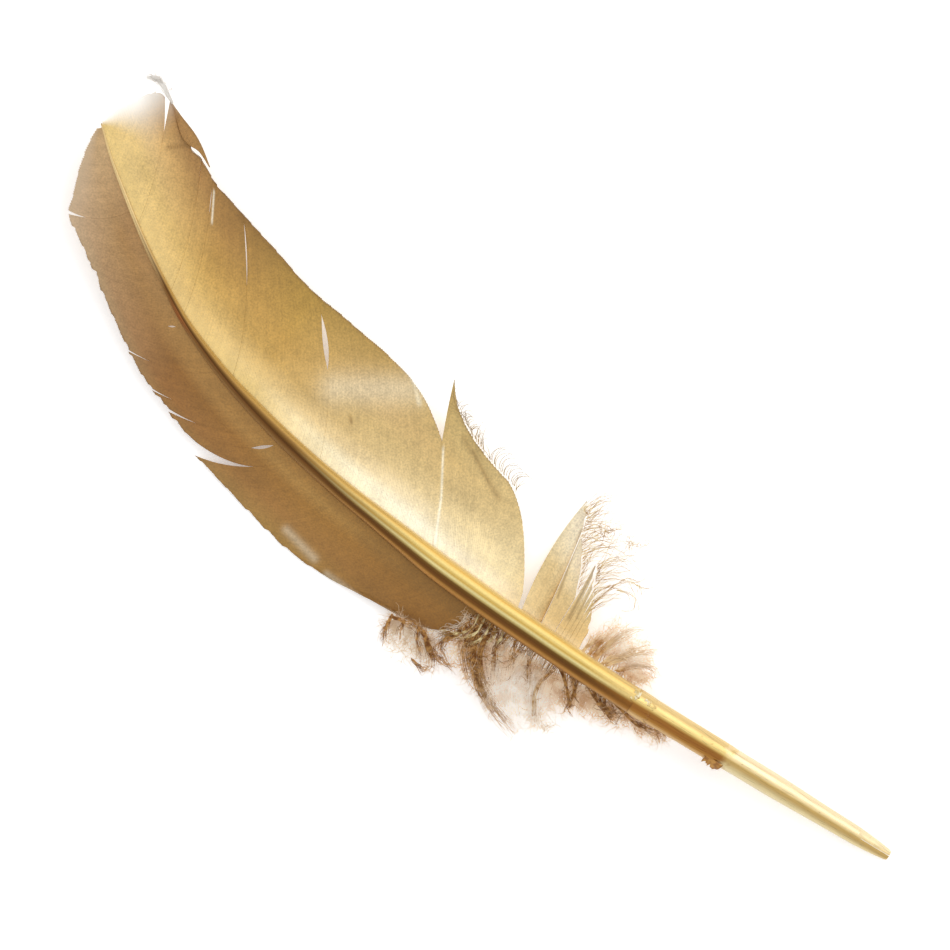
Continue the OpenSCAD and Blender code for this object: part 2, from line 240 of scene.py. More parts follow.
# on the wide vane the pale colours near the shaft are partly painted highlight, and the darker ones towards
# the rim partly painted shade
WIDE_ROWS = [
    (104, "#e0c695 #ceae74 #cfb077 #d8bd88 #f0e0bc #fff4e0 #fff6e4"),
    (114, "#e6cea0 #d8bd88 #d6ba84 #d2b680 #d6bc88 #ecdcb8 #fbf2de"),
    (124, "#f0dcb4 #ebd9b4 #e6d3a4 #e8d3a2 #dcc592 #d9bf87 #dcc48c"),
    (150, "#f6ecd0 #f3ead0 #ebdab4 #dfc896 #d3b880 #d2b478 #dcc384"),
    (172, "#f2e4c0 #f2e6c4 #e2cb9c #d2b780 #ceb278 #d0b076 #c3a05c"),
    (205, "#d8bd7c #d9bd80 #d0b070 #c19c55 #c29a50 #be984c #aa8840"),
    (232, "#d2b474 #d2b06c #caa760 #c39c54 #b58d4a #a98045 #8a6738"),
    (262, "#d2b676 #d6b97a #d6b878 #d2b278 #cda76c #ab8250 #8f6d40"),
]
# the narrow vane's colours are darker than the wide vane's: painted shade of the side turned from the light
NARROW_MARKS = (3, 6, 9, 15, 20)
NARROW_ROWS = [
    (135, "#855e28 #9a6f34 #9c6f34 #976a31 #91652f"),
    (175, "#a87c3e #b28848 #a47738 #a67a40 #aa8446"),
    (225, "#ac8248 #a67c44 #966934 #9e6f3c #a17c4a"),
    (255, "#b08858 #ae8654 #b48e5e #b49168 #b59c78"),
    (270, "#c6a578 #c6a57a #c6a67e #caac88 #c9ad8c"),
]
wide_paint_and_light = painted_barbs("gold_mica_paint_and_painted_light_on_wide_vane", WIDE_MARKS, WIDE_ROWS, "#7b5a2e", 0.972, "#fffaf2",
                           (258, 270), Metallic=0.4)
# a darker copy of the wide vane's paint: painted shade
narrow_paint_and_shade = painted_barbs("gold_mica_paint_and_painted_shade_on_narrow_vane", NARROW_MARKS, NARROW_ROWS, "#85602f", 0.96,
                             "#cdb596", (262, 278), Metallic=0.4)


def streaks(tree, vector, length, width, low, high):
    """Brush streaks along a surface whose coordinates are in mm: a factor, and the noise itself."""
    stretched = node(tree, "Mapping", {0: vector, 3: (1 / length, 1 / width, 1 / width)})
    streak = node(tree, "TexNoise", {"Vector": stretched, "Scale": 1.0, "Detail": 5.0})
    return node(tree, "MapRange", {0: streak, 1: 0.3, 2: 0.7, 3: low, 4: high}), streak


def gloss_and_scratches(tree, shader, streak, glossy, dull):
    rough = node(tree, "MapRange", {0: streak, 1: 0.3, 2: 0.7, 3: glossy, 4: dull})
    tree.links.new(rough, shader.inputs["Roughness"])
    bump = node(tree, "Bump", {"Height": streak, "Distance": 0.04 * MM, "Strength": 0.7})
    tree.links.new(bump, shader.inputs["Normal"])


def shaft_paint():
    """Gold paint brushed on the horn of the shaft: glossy, streaked lengthwise; its bands across hold painted
    light, dark in the groove as painted shade and painted reflection, and pale on the lit flank as painted
    highlight.
    """
    mat, tree, shader = new_material("gold_paint_on_shaft", Metallic=0.6)
    band = node(tree, "Attribute", output="Fac", attribute_name="band")
    side = node(tree, "Attribute", output="Fac", attribute_name="round_mm")
    s = station(tree)
    # bands across the shaft, narrow side first: painted reflection of the floor at the narrow edge, painted
    # shade and painted reflection in the groove, painted highlight on the groove's edge and on the flank
    # facing the light
    near = node(tree, "ValToRGB", {0: band}, stops=[
        (0.0, "#7d5a2c"), (0.05, "#b07f40"), (0.15, "#b5803c"), (0.21, "#8f6224"), (0.26, "#724610"),
        (0.36, "#663d08"), (0.45, "#785416"), (0.51, "#c4ad6c"), (0.56, "#eadb9c"), (0.64, "#cba64e"),
        (0.76, "#e4cc82"), (0.88, "#caa04c"), (0.94, "#dcbb70"), (1.0, "#ecd6a4")])
    far = node(tree, "ValToRGB", {0: band}, stops=[
        (0.0, "#8f6939"), (0.16, "#86602f"), (0.3, "#663e0a"), (0.42, "#603a06"), (0.55, "#75501a"),
        (0.7, "#8f6a32"), (0.86, "#a9833e"), (1.0, "#d2b067")])
    paint = node(tree, "Mix", {0: node(tree, "MapRange", {0: s, 1: 142, 2: 188}), 6: near, 7: far}, 2,
                 data_type="RGBA")
    paint = node(tree, "Mix", {0: node(tree, "MapRange", {0: s, 1: 238, 2: 256}), 6: paint,
                               7: colour("#d9bd86")}, 2, data_type="RGBA")
    # by the barrel it is as brown as the barrel's skin, and carries the same painted shade in the groove and
    # painted highlight on the lit flank
    by_barrel = node(tree, "ValToRGB", {0: band}, stops=[
        (0.0, "#c09a62"), (0.12, "#a06c28"), (0.3, "#8c5818"), (0.45, "#8f5c1e"), (0.53, "#c8a45c"),
        (0.62, "#ecd088"), (0.85, "#dcba70"), (1.0, "#dcc084")])
    paint = node(tree, "Mix", {0: node(tree, "MapRange", {0: s, 1: 94, 2: 78}), 6: paint, 7: by_barrel}, 2,
                 data_type="RGBA")
    # a rusty rub mark on the narrow side, 12 mm long
    off = node(tree, "Math", {0: s, 1: 231.0}, operation="SUBTRACT")
    off = node(tree, "Math", {0: node(tree, "Math", {0: off}, operation="ABSOLUTE"), 1: -1 / 6, 2: 1.0},
               operation="MULTIPLY_ADD")
    low_side = node(tree, "MapRange", {0: band, 1: 0.5, 2: 0.25})
    rust = node(tree, "Math", {0: off, 1: low_side}, operation="MULTIPLY", use_clamp=True)
    paint = node(tree, "Mix", {0: rust, 6: paint, 7: colour("#8a4f1e")}, 2, data_type="RGBA")
    around = node(tree, "CombineXYZ", {0: s, 1: side})
    tone, streak = streaks(tree, around, 25, 0.5, 0.88, 1.1)
    tone = node(tree, "Math", {0: tone, 1: mica(tree, 0.94, 1.05)}, operation="MULTIPLY")
    tree.links.new(times(tree, paint, tone), shader.inputs["Base Color"])
    gloss_and_scratches(tree, shader, streak, 0.38, 0.55)
    return mat


def barrel_paint():
    """Gold paint worn thin over pale horn; where the skin sheath is left it is browner on one side. Across
    the barrel the colours hold a painted reflection, a darker band just below the middle line, and a painted
    highlight on the side facing the light.
    """
    mat, tree, shader = new_material("worn_gold_paint_on_barrel", Metallic=0.45)
    place = node(tree, "TexCoord", output="Object")
    s = station(tree)
    # distance across from the barrel's middle line, which turns 1 degree from the X axis
    y = node(tree, "Math", {0: node(tree, "SeparateXYZ", {0: place}, 1), 1: 1 / MM, 2: -0.4},
             operation="MULTIPLY_ADD")
    across = node(tree, "Math", {0: s, 1: math.tan(math.radians(1)), 2: y}, operation="MULTIPLY_ADD")
    share = node(tree, "Math", {0: across, 1: 1 / 8, 2: 0.5}, operation="MULTIPLY_ADD")
    # both ramps across the barrel carry painted light: a darker band just below the middle line as painted
    # reflection, and painted highlight on the side facing the light
    pale_and_painted_light = node(tree, "ValToRGB", {0: share}, stops=[
        (0.1, "#dccba2"), (0.25, "#dcc893"), (0.38, "#c3a364"), (0.46, "#c8a660"), (0.53, "#ead096"),
        (0.62, "#f4dfb2"), (0.78, "#eed3a6"), (0.95, "#ecd9b6")])
    skinned = node(tree, "ValToRGB", {0: share}, stops=[
        (0.1, "#caa468"), (0.2, "#ab7628"), (0.32, "#985f1a"), (0.44, "#9c6822"), (0.5, "#cba65a"),
        (0.56, "#ecd084"), (0.75, "#d6b676"), (0.95, "#dcbe80")])
    torn = node(tree, "TexNoise", {"Vector": place, "Scale": 1 / (3 * MM), "Detail": 3.0})
    torn = node(tree, "Math", {0: torn, 1: 9.0, 2: s}, operation="MULTIPLY_ADD")
    mix = node(tree, "MapRange", {0: torn, 1: 52.9, 2: 55.4})
    paint = node(tree, "Mix", {0: mix, 6: pale_and_painted_light, 7: skinned}, 2, data_type="RGBA")
    # rubbed specks, a millimetre across
    speck = node(tree, "TexNoise", {"Vector": place, "Scale": 1 / (1.1 * MM), "Detail": 4.0})
    speck = node(tree, "MapRange", {0: speck, 1: 0.66, 2: 0.76, 3: 0.0, 4: 0.55})
    paint = node(tree, "Mix", {0: speck, 6: paint, 7: colour("#a98449")}, 2, data_type="RGBA")
    in_mm = node(tree, "VectorMath", {0: place, 3: 1 / MM}, operation="SCALE")
    tone, streak = streaks(tree, in_mm, 14, 0.5, 0.9, 1.08)
    tree.links.new(times(tree, paint, tone), shader.inputs["Base Color"])
    gloss_and_scratches(tree, shader, streak, 0.22, 0.45)
    return mat


def fibre_material(name, outer, patch, inner=None, centre=(0, 0), radii=(1, 1), glow=0.0, **values):
    """Keratin fibres in two tones mixed in patches; inside an oval in the X-Y plane the tones are others."""
    if glow:
        values.update(Emission_Color=colour("#fff0e0"), Emission_Strength=glow)
    mat, tree, shader = new_material(name, **values)
    place = node(tree, "TexCoord", output="Object")
    patches = node(tree, "TexNoise", {"Vector": place, "Scale": 1 / (patch * MM), "Detail": 3.0})
    outside, inside = [node(tree, "ValToRGB", {0: patches}, stops=[(0.4, tones[0]), (0.6, tones[1])])
                       for tones in (outer, inner or outer)]
    shift = (centre[0] / radii[0], -centre[1] / radii[1], 0)
    oval = node(tree, "Mapping", {0: place, 1: shift, 3: (1 / (radii[0] * MM), 1 / (radii[1] * MM), 0)})
    away = node(tree, "VectorMath", {0: oval}, 1, operation="LENGTH")
    mix = node(tree, "MapRange", {0: away, 1: 0.55, 2: 1.25})
    tint = node(tree, "Mix", {0: mix, 6: inside, 7: outside}, 2, data_type="RGBA")
    tree.links.new(tint, shader.inputs["Base Color"])
    return mat


DOWN_PALE = {"centre": (103.5, -17.5), "radii": (11, 8)}    # where the narrow side's down is clean of paint
TUFT_PALE = {"centre": (84, 14), "radii": (9, 8)}           # the same in the wide side's tuft
LOW_DOWN = {"centre": (135, -20), "radii": (8, 6)}          # the turned-over clump

barrel_gold = barrel_paint()
shaft_gold = shaft_paint()
# down scatters light right through itself, which a faint glow stands for
down_fluff = fibre_material("pale_down_barbules", ("#d6ac74", "#f5e4c8"), 3.0, ("#fffdf8", "#f5e8d8"),
                            **DOWN_PALE, glow=0.1, Roughness=0.8)
# the turned-over clump's down is duller and darker than the rest: painted shade, for the shade it lies in
clump_fluff = fibre_material("down_of_turned_clump", ("#c59b66", "#e4cba4"), 2.5, ("#f6ecdc", "#dcc4a0"),
                             **LOW_DOWN, glow=0.08, Roughness=0.8)
tuft_fluff = fibre_material("pale_down_of_wide_side", ("#e2bc8a", "#f7e6cc"), 3.0, ("#fff8ea", "#f3e0c2"),
                            **TUFT_PALE, glow=0.1, Roughness=0.8)
# the stems of the down took more of the spray than its fluff, and show as brown lines in it
down_stem = fibre_material("painted_down_barbs", ("#96642a", "#c8994f"), 3.0, ("#ead6b8", "#c9a577"),
                           **DOWN_PALE, Roughness=0.6)
tuft_stem = fibre_material("painted_down_of_wide_side", ("#bf8a4a", "#efd2a2"), 3.0, ("#fbeed6", "#e0c094"),
                           **TUFT_PALE, Roughness=0.6)
clean_down = fibre_material("clean_down_barbs", ("#f3e6d2", "#dcc09a"), 2.0, ("#fffaf2", "#eedfca"),
                            **DOWN_PALE, Roughness=0.7)
# paint has stuck this down together in darker, glossier ropes
matted = fibre_material("matted_painted_down", ("#855118", "#d3a05a"), 1.2, ("#b78a52", "#e6cda4"),
                        **DOWN_PALE, Roughness=0.5)
# loose barbs are stiff horn hairs with a little paint: a soft shine, dark and light by turns
comb_hair = fibre_material("painted_loose_barb_ends", ("#8f7040", "#b0904f"), 2.5, Roughness=0.5)
loose_hair = fibre_material("painted_loose_barbs", ("#9c6f30", "#f0dfa8"), 1.5, Roughness=0.45)
lobe_hair = fibre_material("fine_loose_barb_ends", ("#e3c98f", "#b78b48"), 2.0, Roughness=0.5)
white_fluff = fibre_material("unpainted_end_barbs", ("#f6f2ec", "#dcd5cc"), 3.0, Roughness=0.8)
# dry skin and thick paint, which lift off the shaft in glossy scales
sheath_scale = fibre_material("flaking_skin_sheath", ("#c08c42", "#97642a"), 1.2, Roughness=0.35,
                              Metallic=0.2)
bright_scale = fibre_material("lifted_flakes_of_gold_paint", ("#fdf3d2", "#e6cd8c"), 1.0, Roughness=0.3,
                              Metallic=0.3)
# inside the shaft: dull off-white foam, and thin brown skin
pith_foam = fibre_material("pith_foam", ("#f4efe0", "#e2d6b8"), 0.6, Roughness=0.85)
membrane = fibre_material("dried_pulp_membrane", ("#d9c79a", "#a98c54"), 1.0, Roughness=0.6)


# ---------------------------------------------------------------- building pieces

def place_piece(name, data, mat, body, slot, replaced=()):
    """Makes a piece of a mesh or curve in metres, riding on a body."""
    data.materials.append(mat)
    piece = bpy.data.objects.new(name, data)
    bpy.context.scene.collection.objects.link(piece)
    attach(piece, body)
    if replaced:
        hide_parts(*replaced)
    return piece


def mesh_piece(bm, name, *rest):
    """A piece from a bmesh in millimetres."""
    bmesh.ops.scale(bm, vec=(MM, MM, MM), verts=bm.verts)
    mesh = bpy.data.meshes.new(name)
    bm.to_mesh(mesh)
    bm.free()
    mesh.shade_smooth()
    return place_piece(name, mesh, *rest)


def give_thickness(piece, thick):
    wall = piece.modifiers.new("thickness", "SOLIDIFY")
    wall.thickness = thick * MM
    wall.offset = 0


class Vane:
    """Barbs that leave the shaft side by side, each bending from its root to its tip.

    keys: station of the root, station and y of the tip, and how far the bend's control point
    lies towards the tip along the feather and across it, which is turn where a key leaves it out.
    slits: station of the root where the web has parted, where along the barb the gap starts
    and ends (an end past 1 is open at the rim), and its width.
    """

    def __init__(self, side, keys, slits=(), turn=(.5, .5)):
        self.side, self.slits = side, slits
        self.keys = [(*key, *turn)[:5] for key in keys]

    def point(self, root_s, v, above):
        """Flat place of a barb's point; above says on which side of a slit at its own root it lies."""
        root = (root_s, mid_y(root_s) + self.side * (half_w(root_s) - ROOT_SINK))
        tip, turn = [[at(self.keys, c + i, root_s) for i in (0, 1)] for c in (1, 3)]
        bend = [root[i] + turn[i] * (tip[i] - root[i]) for i in (0, 1)]
        s, y = [(1 - v) ** 2 * root[i] + 2 * v * (1 - v) * bend[i] + v * v * tip[i] for i in (0, 1)]
        ds, dy = [(1 - v) * (bend[i] - root[i]) + v * (tip[i] - bend[i]) for i in (0, 1)]
        size = math.hypot(ds, dy) or 1
        for slit_s, start, end, width in self.slits:
            share = (v - start) / (end - start)
            if not 0 < share < 1:
                continue
            gap = math.sin(math.pi * share) if end <= 1 else share ** 1.3
            away = root_s - slit_s
            sign = 1 if away > 1e-6 or (away > -1e-6 and above) else -1
            push = sign * 0.5 * width * gap * math.exp(-abs(away) / SLIT_REACH)
            s += push * self.side * dy / size
            y -= push * self.side * ds / size
        return s, y


def group_loss(rng, count, depth, smallest, largest):
    """Length lost by each barb's tip: barbs cling in groups that step back one from the next."""
    loss = []
    while len(loss) < count:
        size = rng.randint(smallest, largest)
        step = rng.uniform(0.15, 1.0) * depth
        loss += [step * k / size + rng.uniform(0, 0.15) * depth for k in range(size)]
    return loss[:count]


# Lines of painted shade and painted highlight: station and y of both ends, half width, and how dark, or below
# 0 how pale. Dark ones are painted shade in creases, in gaps and along the shaft, and a painted shadow under
# the turned corner; pale ones are painted highlight on the lit edges of gaps and on raised parts of the wide
# vane.
SHADE_AND_HIGHLIGHT_LINES = [
    (152, 33, 136, 24.6, 0.9, 0.3), (160, 40, 145, 31, 0.8, 0.2), (148, 31.3, 140, 26.6, 0.5, 0.5),
    (257, 55.6, 252.4, 59, 0.55, 0.6), (113, 29, 109, 11, 0.35, 0.5), (179.6, 21.6, 178.6, 20.6, 0.4, 0.6),
    (105, 24, 103.6, 8, 0.5, 0.5), (103, 18, 102, 9, 0.3, 0.35), (256, 63.6, 246, 57.6, 0.9, 0.45),
    (262, 65, 250, 61, 1.6, 0.3), (210, 45.2, 232, 50.5, 0.5, 0.35),
    (143.3, 5.5, 148.6, 17, 0.3, -0.7), (148.6, 17, 155, 28, 0.3, -0.6), (241, 52.4, 237, 45, 0.25, -0.6),
    (187, 26, 169, 37, 4.5, -0.3), (171.5, 39, 166.5, 34.5, 1, -0.45), (178, -12, 168, -14.4, 1.2, -0.25),
    (163, -16.2, 153, -16.9, 1, -0.25), (146, -16, 133, -14.6, 0.9, -0.2),
    (206, -3, 190, -6, 1.5, 0.3), (160, -3.5, 128, -6.5, 1.6, 0.3), (155, -13, 142, -13.6, 1.6, 0.2),
]


# the darkness of painted shade, and below 0 the paleness of painted highlight, that the lines give a point
def painted_shade_and_highlight(s, y):
    most = 0.0
    for s1, y1, s2, y2, half, dark in SHADE_AND_HIGHLIGHT_LINES:
        ds, dy = s2 - s1, y2 - y1
        share = min(1.0, max(0.0, ((s - s1) * ds + (y - y1) * dy) / (ds * ds + dy * dy)))
        off = math.hypot(s - s1 - share * ds, y - y1 - share * dy) / half
        here = dark * math.exp(-off * off)
        most = here if abs(here) > abs(most) else most
    return most


WEB_COLUMNS, WEB_ROWS = 4, 48    # faces of a web's grid: across each barb, and along the barbs


def web(name, vane, first, last, body, replaced, seed, depth=0.5, groups=(6, 14), lift=None):
    """The web of barbs between two roots: ribs and furrows, ragged at the rim."""
    rng = random.Random(seed)
    count = max(1, round((last - first) / BARB_PITCH))
    loss = group_loss(rng, count + 1, depth, *groups)
    bm = bmesh.new()
    across, reach, barb, shade_and_highlight = [bm.verts.layers.float.new(n) for n in ("across", "reach", "barb", "shade_and_highlight")]
    cuts = [first] + [s[0] for s in vane.slits if first < s[0] < last] + [last]
    for low, high in zip(cuts, cuts[1:]):
        columns = max(1, round((high - low) / BARB_PITCH)) * WEB_COLUMNS
        made = bmesh.ops.create_grid(bm, x_segments=columns, y_segments=WEB_ROWS, size=1)
        for vert in made["verts"]:
            share, t = (vert.co.x + 1) / 2, (vert.co.y + 1) / 2
            root_s = low + share * (high - low)
            number = (root_s - first) / BARB_PITCH
            k = min(count, int(number + 1e-4))
            furrow = abs(2 * (number - k) - 1)
            length = math.dist((root_s, mid_y(root_s)), (at(vane.keys, 1, root_s), at(vane.keys, 2, root_s)))
            v = t * max(0.3, 1 - (loss[k] + TIP_NOTCH * furrow * furrow) / length)
            s, y = vane.point(root_s, v, share < 0.5)
            z = vane_z(vane.side, s, y) + RIB * (1 - furrow) * min(1.0, 8 * v)
            if lift:
                z += lift(root_s, s, y, v)
            vert.co = (-s, y, z)
            vert[across] = abs(y - mid_y(s))
            vert[reach] = v
            vert[barb] = root_s / BARB_PITCH
            # painted shade and painted highlight from the lines
            vert[shade_and_highlight] = painted_shade_and_highlight(s, y)
    # stations grow towards -X, so the wide side's grid comes out face down
    if vane.side > 0:
        bmesh.ops.reverse_faces(bm, faces=bm.faces)
    slot, paint = ("wide_vane", wide_paint_and_light) if vane.side > 0 else ("narrow_vane", narrow_paint_and_shade)
    give_thickness(mesh_piece(bm, name, paint, body, slot, replaced), WEB_T)


# ---------------------------------------------------------------- the webs

wide_vane = Vane(1, [
    (143.55, 155.5, 28.8, .5, .5), (146.5, 160.3, 32.6, .42, .48), (150, 166.2, 36.4, .32, .46),
    (154, 172.4, 39, .24, .45), (159, 180, 40.8), (166, 189, 42.1),
    (173, 196, 43.2), (180.4, 203.8, 44.1), (188, 211, 45.7),
    (196, 218.5, 48), (204, 225.5, 49.9), (211, 231.5, 51.5),
    (218, 236.4, 52.9), (225, 240.6, 54.1), (231, 243.6, 55.4),
    (236.4, 248.4, 57.9), (240.5, 251.8, 58.6), (242.6, 253.8, 61),
    (245, 256.6, 63.2), (249, 260.3, 64.9), (252.8, 263.8, 66.4),
    (257.5, 266.4, 66.6), (262, 268.3, 65), (266, 270.6, 61.8),
    (269.5, 272.6, 58.2),
    (272, 274, 54.6), (273.8, 274.7, 52.2)],
    slits=[(180.4, .6, .9, 1.4), (211, .6, .97, .35), (230.4, .75, .94, .13), (252.8, .76, 1.01, 1.5)],
    turn=(.2, .45))
pointed_vane = Vane(1, [
    (116.3, 117.4, 7.4), (117.6, 119.5, 11.5), (119, 122.3, 16, .45, .5),
    (121, 126, 21.3, .4, .48), (123.5, 130.5, 26, .38, .46), (126, 135, 29.3, .36, .45),
    (128, 138.5, 30.4, .36, .45), (130, 143, 31.8, .38, .45), (132.5, 147.5, 33.4, .4, .45),
    (135.5, 152, 35.5, .44, .46), (138.5, 156.8, 38.6, .5, .48), (140.8, 159.8, 41.6, .55, .48),
    (143.35, 162.2, 45, .6, .45)])
lobe_a_vane = Vane(1, [
    (109.1, 113, 29.4, .35, .5), (110.6, 113.9, 32.4, .6, .5), (112, 114.6, 34.4, .9, .5),
    (113.6, 115.4, 35.8, 1.4, .5), (115.1, 116, 36.8, 4, .5)])
lobe_b_vane = Vane(1, [
    (104.95, 105.1, 13.5), (105.8, 106.7, 17.6), (106.7, 108.4, 22, .4, .5),
    (107.9, 110.6, 25.8, .35, .5), (108.95, 112.5, 28.2, .35, .5)])
strip_vane = Vane(1, [
    (97.2, 97.7, 7.4), (98.4, 99.1, 11, .4, .5), (99.8, 100.6, 14.6, .4, .5),
    (101.4, 101.8, 17.5, .3, .5), (102.8, 103.4, 20.5, .3, .5), (104.85, 104.9, 24.6)],
    slits=[(99.4, .6, 1.3, .9), (100.6, .5, 1.3, .9), (101.8, .55, 1.3, 1.0), (103, .5, 1.3, 1.0)])
narrow_vane = Vane(-1, [
    (124.8, 137.5, -14.9, .06, .85), (127, 143, -15.3, .1, .87), (131, 149, -15.7, .17, .88),
    (136, 155, -16.1, .23, .9), (142, 161, -16.7, .27, .9), (150, 169, -16.8, .3, .9),
    (158, 177, -16.1, .31, .9), (166, 185, -14.4, .32, .9), (173, 192.5, -12.5),
    (179.5, 200, -10.3, .33, .92), (186.2, 209.6, -6.9, .33, .95),
    (192, 217, -4.2), (198, 222.5, -1.7),
    (205, 229, .6), (212, 235, 3.6), (219, 241, 7.3),
    (226, 247, 11.3), (232, 252, 14.6), (238, 257.3, 18.3),
    (244, 262, 21.6, .33, .88), (250, 266.5, 24.4, .3, .85), (256.2, 270.3, 27.4, .3, .8),
    (259.5, 271.4, 31.6, .3, .75), (263, 272.8, 35.8, .3, .7), (266.5, 274, 39.8, .3, .65),
    (269.5, 274.7, 43.6, .3, .6), (272, 275, 46.8, .3, .6), (273.8, 275, 49.6, .3, .6)],
    slits=[(186.2, .4, 1.02, 3.4), (191.5, .06, .3, .9), (196.5, .68, 1.02, .8), (203.5, .75, 1.02, .5),
           (215.5, .72, 1.02, .45), (228.6, .12, .24, .5), (256.2, .7, 1.02, 1.0)],
    turn=(.33, .9))


def end_rise(root_s, s, y, v):
    """The wide corner at the feather's end stands up."""
    return 2.5 * smooth_step(0.7, 1.0, v) * smooth_step(266, 254, root_s)


def upper_rise(root_s, s, y, v):
    return 0.6 * smooth_step(0.6, 1.0, v) + 1.6 * smooth_step(0.75, 1.0, v) * smooth_step(246, 252.8, root_s)


def middle_dip(root_s, s, y, v):
    """The barbs by the turned corner lie lower than the corner."""
    return -0.5 * smooth_step(0.75, 1.0, v) * smooth_step(228, 236, root_s)


def pointed_fold(root_s, s, y, v):
    """The rim of the pointed lobe is folded up along a line, and its tip stands up."""
    ax, ay, bx, by = 152, 33, 134, 23.5
    beyond = ((y - ay) * (bx - ax) - (s - ax) * (by - ay)) / math.hypot(bx - ax, by - ay)
    fold = 0.3 * max(0.0, -beyond) * smooth_step(126, 131, root_s)
    return fold + 1.5 * smooth_step(0.6, 1.0, v) * smooth_step(136, 143.3, root_s)


def lobe_a_fold(root_s, s, y, v):
    """One side of the lobe is folded down from its middle line."""
    return -0.5 * max(0.0, 111.6 + 0.06 * y - s)


web("wide_web_end_barbs", wide_vane, 252.8, 273.8, ROOT, ["wide_web_tip"], 11, lift=end_rise)
web("wide_web_upper_barbs", wide_vane, 236.4, 252.8, ROOT, ["wide_web_upper"], 12, 0.3, lift=upper_rise)
web("wide_web_middle_barbs", wide_vane, 211, 236.4, ROOT, ["wide_web_middle"], 13, lift=middle_dip)
web("wide_web_lower_barbs", wide_vane, 180.4, 211, ROOT, ["wide_web_lower"], 14, 0.4)
web("wide_web_base_barbs", wide_vane, 143.55, 180.4, ROOT, ["wide_web_base"], 15, 0.4)
web("pointed_lobe_barbs", pointed_vane, 116.3, 143.35, "pointed_lobe", ["pointed_lobe"], 16,
    lift=pointed_fold)
web("ragged_lobe_a_barbs", lobe_a_vane, 109.1, 115.1, "ragged_lobe_a", ["ragged_lobe_a"], 17, 2.0, (2, 4),
    lobe_a_fold)
web("ragged_lobe_b_barbs", lobe_b_vane, 104.95, 108.95, "ragged_lobe_b", ["ragged_lobe_b"], 18, 1.5, (2, 3))
web("ragged_strip_barbs", strip_vane, 97.2, 104.85, "ragged_strip", ["ragged_strip"], 19, 2.5, (2, 3))
web("narrow_web_end_barbs", narrow_vane, 256.2, 273.8, ROOT, ["narrow_web_tip"], 21, 0.3, (6, 12))
web("narrow_web_middle_barbs", narrow_vane, 186.2, 256.2, ROOT, ["narrow_web_middle"], 22, 1.3, (5, 16))
web("narrow_web_base_barbs", narrow_vane, 124.8, 186.2, ROOT, ["narrow_web_base"], 23, 1.6, (6, 18))


def turned_corner():
    """The loose corner of the upper web: barb ends bent back over the web below, in a crescent."""
    outer = [(0, 262.3, 65.8), (1, 258, 64.1), (2, 255.4, 63.2), (3, 252.4, 62), (4, 249, 60), (5, 245, 57)]
    inner = [(0, 262, 65.2), (1, 258, 61.8), (2, 255, 59.4), (3, 252.5, 58.9), (4, 249.5, 58.8),
             (5, 245.2, 56.9)]
    bm = bmesh.new()
    across, reach, barb = [bm.verts.layers.float.new(n) for n in ("across", "reach", "barb")]
    bmesh.ops.create_grid(bm, x_segments=160, y_segments=10, size=1)
    for vert in bm.verts:
        along, share = 2.5 * (vert.co.x + 1), (vert.co.y + 1) / 2
        s, y = [(1 - share) * at(inner, c, along) + share * at(outer, c, along) for c in (1, 2)]
        ribs = RIB * math.cos(along * 12 * math.pi)
        lift = (upper_rise(252.8 - 2.5 * along, s, y, 0.86 + 0.14 * share) + 0.2
                + 0.6 * smooth_step(1, 3, along))
        vert.co = (-s, y, vane_z(1, s, y) + lift + ribs)
        vert[across], vert[reach], vert[barb] = 24, 0.85 + 0.15 * share, along * 6
    bmesh.ops.recalc_face_normals(bm, faces=bm.faces)
    give_thickness(mesh_piece(bm, "turned_back_corner_barbs", wide_paint_and_light, ROOT, "wide_vane"), WEB_T)


turned_corner()


# ---------------------------------------------------------------- shaft and barrel

# Where the groove runs across the shaft, as a share of the width from the narrow side
GROOVE = [(78, .29), (100, .29), (120, .3), (140, .28), (155, .25), (170, .27), (180, .33), (200, .36),
          (220, .42), (274.5, .4)]
GROOVE_HALF, GROOVE_DEPTH, SQUARENESS = math.radians(19), 0.16, 2.6


def shaft_skin():
    around, along = 64, 240
    bm = bmesh.new()
    band, round_mm = [bm.verts.layers.float.new(n) for n in ("band", "round_mm")]
    bmesh.ops.create_grid(bm, x_segments=around, y_segments=along, size=1)
    first, last = SHAFT[0][0], SHAFT[-1][0]
    for vert in bm.verts:
        angle = math.pi * (vert.co.x + 1)
        s = first + (last - first) * (vert.co.y + 1) / 2
        groove = at(GROOVE, 1, s)
        off = abs(angle - math.acos(2 * groove - 1)) / GROOVE_HALF
        sunk = GROOVE_DEPTH * smooth_step(82, 100, s) * (0.5 + 0.5 * math.cos(math.pi * min(1, off)))
        size = 0.5 * sum(abs(f(angle)) ** SQUARENESS for f in (math.cos, math.sin)) ** (-1 / SQUARENESS)
        u, w = [size * (1 - sunk) * f(angle) for f in (math.cos, math.sin)]
        share = u + 0.5
        vert[band] = 0.36 * share / groove if share < groove else 1 - 0.64 * (1 - share) / (1 - groove)
        vert[round_mm] = angle * half_w(s)
        vert.co = (-s, mid_y(s) + 2 * u * half_w(s), at(SHAFT, 2, s) + w * at(SHAFT, 4, s))
    bmesh.ops.remove_doubles(bm, verts=bm.verts, dist=1e-4)
    bmesh.ops.holes_fill(bm, edges=[e for e in bm.edges if e.is_boundary], sides=0)
    bmesh.ops.recalc_face_normals(bm, faces=bm.faces)
    mesh_piece(bm, "shaft_skin", shaft_gold, ROOT, "shaft_keratin", ["rachis_cortex"])


shaft_skin()

for node_name, mat in (("barrel", barrel_gold), ("umbilicus_plug", membrane), ("pulp_caps", membrane),
                       ("pith_core", pith_foam)):
    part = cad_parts[node_name]
    part.data.materials.clear()
    part.data.materials.append(mat)


# ---------------------------------------------------------------- fibres

